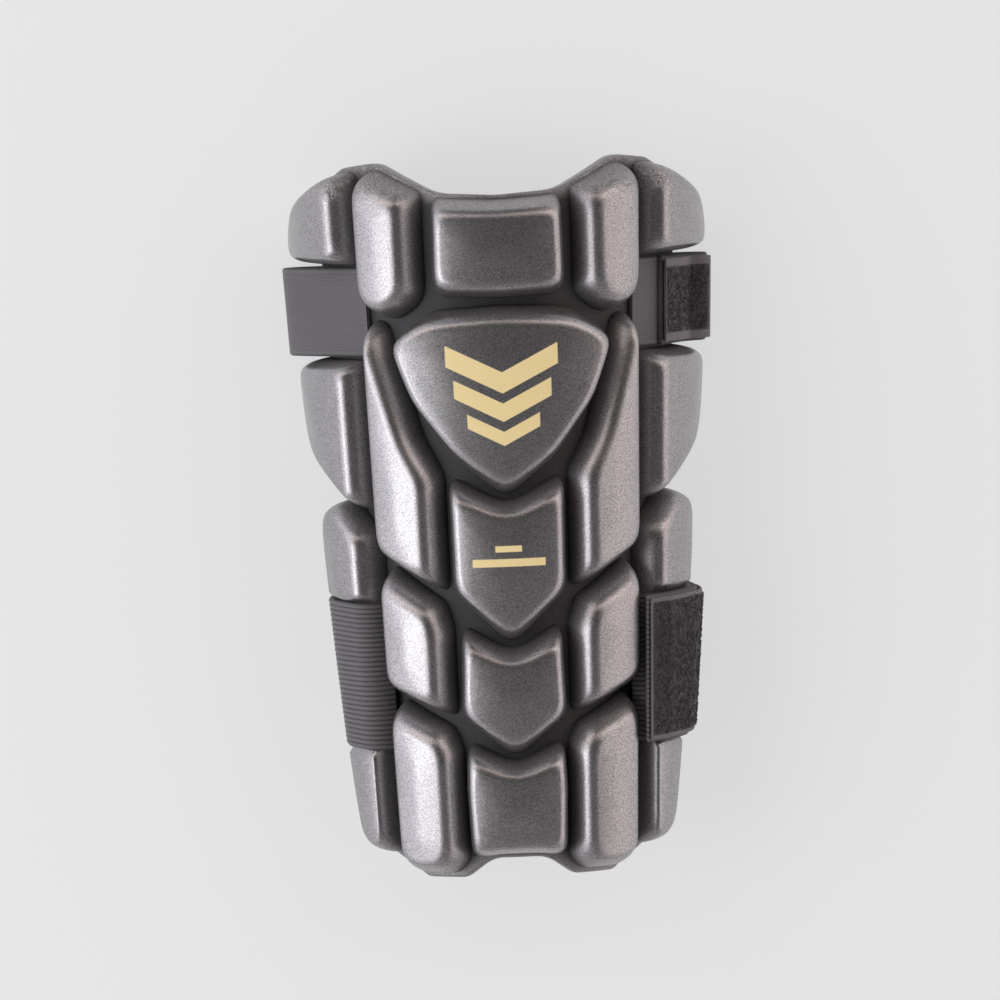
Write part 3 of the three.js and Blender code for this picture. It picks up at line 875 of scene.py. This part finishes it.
def foam_finish():
    """Charcoal skin with a pearly grain, painted shade darkening the grooves between the pads, a plain
    lining inside, and the pale marks on the front pads.
    """
    finish = Finish("moulded_foam_skin")
    place = finish.place()
    grain = finish.noise(place, 2000, 2.0, 0.65)
    fleck = finish.noise(place, 3100, 1.0).clamped(0.6, 0.74)
    cloud = finish.noise(place, 45, 3.0)
    grained = finish.blend(grain.clamped(0.34, 0.66), (0.18, 0.176, 0.186, 1), (0.47, 0.46, 0.476, 1))
    worn = finish.blend(0.22 * cloud, grained, (0.62, 0.6, 0.605, 1))
    sparkled = finish.blend(0.55 * fleck, worn, (0.86, 0.84, 0.83, 1))
    lift = finish.attribute("lift")
    lining = lift.clamped(-WALL + 0.6, -WALL + 0.3)
    # Painted shade: the base colour darkens to near black on the low floor between the pads, less so near
    # the rim, where the metallic sheen also drops and the roughness rises.
    groove = (1 - lift.clamped(-0.5, 10.5)) ** 1.2
    painted_groove_shade = groove * (1 - 0.8 * finish.attribute("rim"))
    shaded = finish.blend(0.95 * painted_groove_shade, sparkled, (0.008, 0.0075, 0.0085, 1))
    skin = finish.blend(lining, shaded, (0.03, 0.03, 0.032, 1))
    mark = front_marks(finish)
    gold = finish.blend(grain.clamped(0.3, 0.7), (1.0, 0.8, 0.37, 1), (1.0, 0.88, 0.5, 1))
    finish.out("Base Color", finish.blend(mark, skin, gold))
    finish.out("Metallic", 0.92 * (1 - lining) * (1 - mark) * (1 - 0.7 * painted_groove_shade))
    finish.out("Roughness", 0.255 + 0.09 * grain + 0.35 * lining + 0.1 * mark + 0.3 * painted_groove_shade)
    crease = (finish.noise(place, 300, 4.0, 0.75) - 0.5).size().clamped(0, 0.06)
    along = finish.axes(finish.pattern("pattern"))[1]
    elbow_end = along.clamped(0.945 * LENGTH * MM, 0.965 * LENGTH * MM)
    finish.out("Normal", finish.bump(grain + 3 * crease * elbow_end, 0.000042))
    return finish.material


def front_marks(finish):
    """Plain pale marks: three stacked chevrons on the shield pad and two bars on the pad below it."""
    sideways_place, along, _ = finish.axes(finish.pattern("pattern"))
    across = sideways_place.size()
    soft = 0.12 * MM

    def between(value, low, high):
        rising = value.clamped(low * MM - soft, low * MM + soft)
        return rising * (1 - value.clamped(high * MM - soft, high * MM + soft))

    slanted = along - CHEVRON_SLANT * across
    marks = 0
    for height, rows in ((slanted, CHEVRONS), (along, BARS)):
        for low, high, reach in rows:
            marks += between(height, low, high) * between(across, -reach, reach)
    raised = finish.attribute("lift").clamped(FRONT_HEIGHT - 1.5, FRONT_HEIGHT - 1)
    return marks * raised


def webbing_finish():
    """Dark grey elastic: ribs along its length, with painted shade darkening the valleys between them,
    crossed by fine yarns.
    """
    finish = Finish("elastic_webbing_finish", Metallic=0.0, Roughness=0.75)
    finish.shader.inputs["Sheen Weight"].default_value = 0.2
    weave = finish.pattern("weave")
    stretched = finish.node("ShaderNodeMapping", {}, {"Vector": weave, "Scale": (1500, 2600, 1)})[0]
    yarn = finish.noise(stretched, 1.0, 2.0)
    worn = finish.noise(finish.place(), 60, 2.0)
    crest = finish.attribute("rib").clamped(0.5, 1)
    thread = finish.blend(yarn.clamped(0.3, 0.7), (0.085, 0.081, 0.088, 1), (0.17, 0.163, 0.176, 1))
    faded = finish.blend(0.3 * worn, thread, (0.19, 0.18, 0.195, 1))
    # Painted shade: the low parts of the ribbed profile, the valleys between the ribs and the thin edges,
    # are coloured near black.
    finish.out("Base Color", finish.blend(crest, (0.035, 0.033, 0.037, 1), faded))
    finish.out("Normal", finish.bump(yarn, 0.0001))
    return finish.material


def nap_finish():
    """Dark curled nap with paler tips, and a smooth grey border."""
    finish = Finish("fastener_nap_finish", Metallic=0.0, Roughness=0.9)
    finish.shader.inputs["Sheen Weight"].default_value = 0.3
    fuzz = finish.noise(finish.place(), 2600, 3.0, 0.7)
    dark, pale = (0.007, 0.006, 0.008, 1), (0.13, 0.12, 0.132, 1)
    field = finish.attribute("field")
    napped = finish.blend(fuzz.clamped(0.42, 0.72), dark, pale)
    border = finish.blend(fuzz.clamped(0.3, 0.7), (0.13, 0.122, 0.138, 1), (0.18, 0.17, 0.19, 1))
    finish.out("Base Color", finish.blend(field.clamped(0.2, 0.6), border, napped))
    finish.out("Normal", finish.bump(fuzz, 0.0002))
    return finish.material


foam = foam_finish()
webbing = webbing_finish()
nap = nap_finish()

shell.data.materials.append(foam)
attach(shell, "root")
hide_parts("moulded_shell")
for (place, kind), piece in loop_pieces.items():
    is_nap = kind == "fastening_patch"
    piece.data.materials.append(nap if is_nap else webbing)
    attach(piece, "root")
    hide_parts(f"{place}_{kind}")


# The floor, the lights and the camera
TARGET = Vector((CENTRE_X - 2.4 * MM, 8.8 * MM, 75 * MM))
CAMERA_DISTANCE = 1.5
CAMERA_TILT = 5
CAMERA_ROLL = 2.2
LENS = 153.4


def floor():
    """A wide pale floor whose own glow gives the even background."""
    bpy.ops.mesh.primitive_plane_add(size=8, location=(0, 0, 0))
    plane = bpy.context.object
    plane.name = "studio_floor"
    finish = Finish("pale_floor", Roughness=1.0, Emission_Strength=1.0)
    finish.out("Base Color", (0.3, 0.3, 0.3, 1))
    finish.out("Emission Color", (0.565, 0.57, 0.576, 1))
    plane.data.materials.append(finish.material)
    bpy.ops.object.transform_apply(location=True, rotation=True, scale=True)


def area_light(name, position, size, power):
    """A rectangular light turned towards the guard."""
    data = bpy.data.lights.new(name, "AREA")
    data.shape = "RECTANGLE"
    data.size, data.size_y = size
    data.energy = power
    lamp = bpy.data.objects.new(name, data)
    lamp.location = position
    lamp.rotation_mode = "QUATERNION"
    lamp.rotation_quaternion = (Vector(position) - Vector((0, 0, 0.04))).to_track_quat("Z", "Y")
    bpy.context.scene.collection.objects.link(lamp)


DIM_ROOM = 0.035
LEFT_WALL = (1.5, 1.48, 1.58, 1)
RIGHT_WALL = (1.25, 1.12, 1.09, 1)
NEAR_WALL = (0.5, 0.46, 0.45, 1)
FAR_WALL = (1.9, 1.65, 1.5, 1)
CEILING = (0.34, 0.325, 0.33, 1)


def studio_world():
    """A dim room whose walls are bright: white on the left, warmer and weaker on the right."""
    world = bpy.data.worlds.new("studio_world")
    world.use_nodes = True
    room = Nodes(world.node_tree)
    x, y, z = room.axes(room.node("ShaderNodeTexCoord", {}, {})[0])
    high = z.clamped(0.3, 0.5) * (1 - z.clamped(0.7, 0.84))
    low = (1 - z.clamped(0.55, 0.84)) * (1 + 0.8 * high)
    left = (-1 * x).clamped(0.1, 0.85) * low
    right = x.clamped(0.1, 0.85) * low
    near = (-1 * y).clamped(0.3, 0.9) * low
    above = (-1 * y).clamped(0.02, 0.3) * z.clamped(0.5, 0.9)
    far = y.clamped(0.25, 0.5) * (1 - y.clamped(0.62, 0.8)) * high
    glow = room.blend(left, (*[DIM_ROOM] * 3, 1), LEFT_WALL)
    glow = room.blend(right, glow, RIGHT_WALL)
    glow = room.blend(near, glow, NEAR_WALL)
    glow = room.blend(far, glow, FAR_WALL)
    glow = room.blend(above, glow, CEILING)
    room.feed(room.tree.nodes["Background"].inputs[0], glow)
    bpy.context.scene.world = world


floor()
area_light("left_softbox", (-0.9, -0.1, 0.9), (0.5, 0.8), 3)
studio_world()
bpy.context.scene.view_settings.view_transform = "Standard"

camera_data = bpy.data.cameras.new("photo_camera")
camera_data.lens = LENS
camera_data.sensor_width = 36
camera_data.clip_end = 20
camera = bpy.data.objects.new("photo_camera", camera_data)
away = Vector((0, math.sin(math.radians(CAMERA_TILT)), math.cos(math.radians(CAMERA_TILT))))
camera.location = TARGET + away * CAMERA_DISTANCE
camera.rotation_mode = "QUATERNION"
side_way = Vector((1, 0, 0))
up_way = away.cross(side_way)
axes = Matrix((side_way, up_way, away)).transposed()
camera.rotation_quaternion = (axes @ Matrix.Rotation(math.radians(-CAMERA_ROLL), 3, "Z")).to_quaternion()
bpy.context.scene.collection.objects.link(camera)
bpy.context.scene.camera = camera
